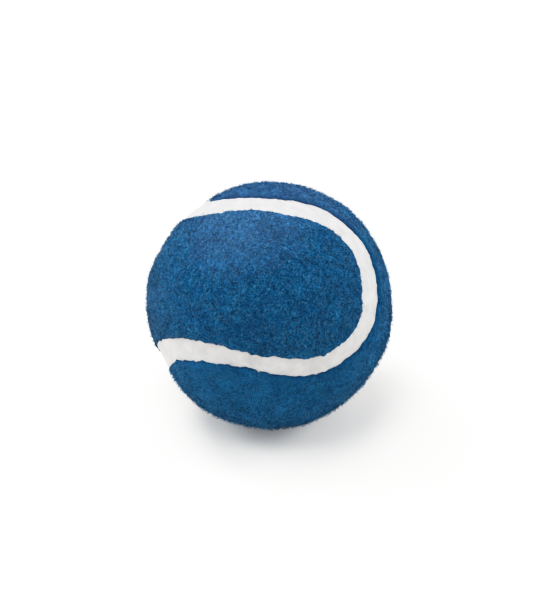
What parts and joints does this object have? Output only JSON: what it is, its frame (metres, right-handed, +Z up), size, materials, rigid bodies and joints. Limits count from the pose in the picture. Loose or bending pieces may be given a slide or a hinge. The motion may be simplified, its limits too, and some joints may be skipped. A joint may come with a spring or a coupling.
{
  "type": "felt-covered rubber ball",
  "caption": "Hollow rubber ball covered with two interlocking blue felt panels and a recessed white seam.",
  "frame": {"origin": "centre of the ball", "axes": "+Z up as the ball lies in the picture, -Y towards the camera, +X to the camera's right"},
  "size_m": [0.065, 0.0648, 0.0649],
  "materials": {
    "core_rubber": "matt moulded rubber, slightly chalky",
    "cement": "dried translucent tan rubber cement",
    "blue_felt": "napped wool and nylon felt",
    "white_seam": "smooth matt off-white vulcanised compound"
  },
  "bodies": {
    "root": {"core_half_upper": "core_rubber", "core_half_lower": "core_rubber", "core_joint_cement": "cement", "core_adhesive_coat": "cement", "felt_panel_a": "blue_felt", "felt_panel_b": "blue_felt", "seam_cement": "white_seam"}
  },
  "joints": []
}
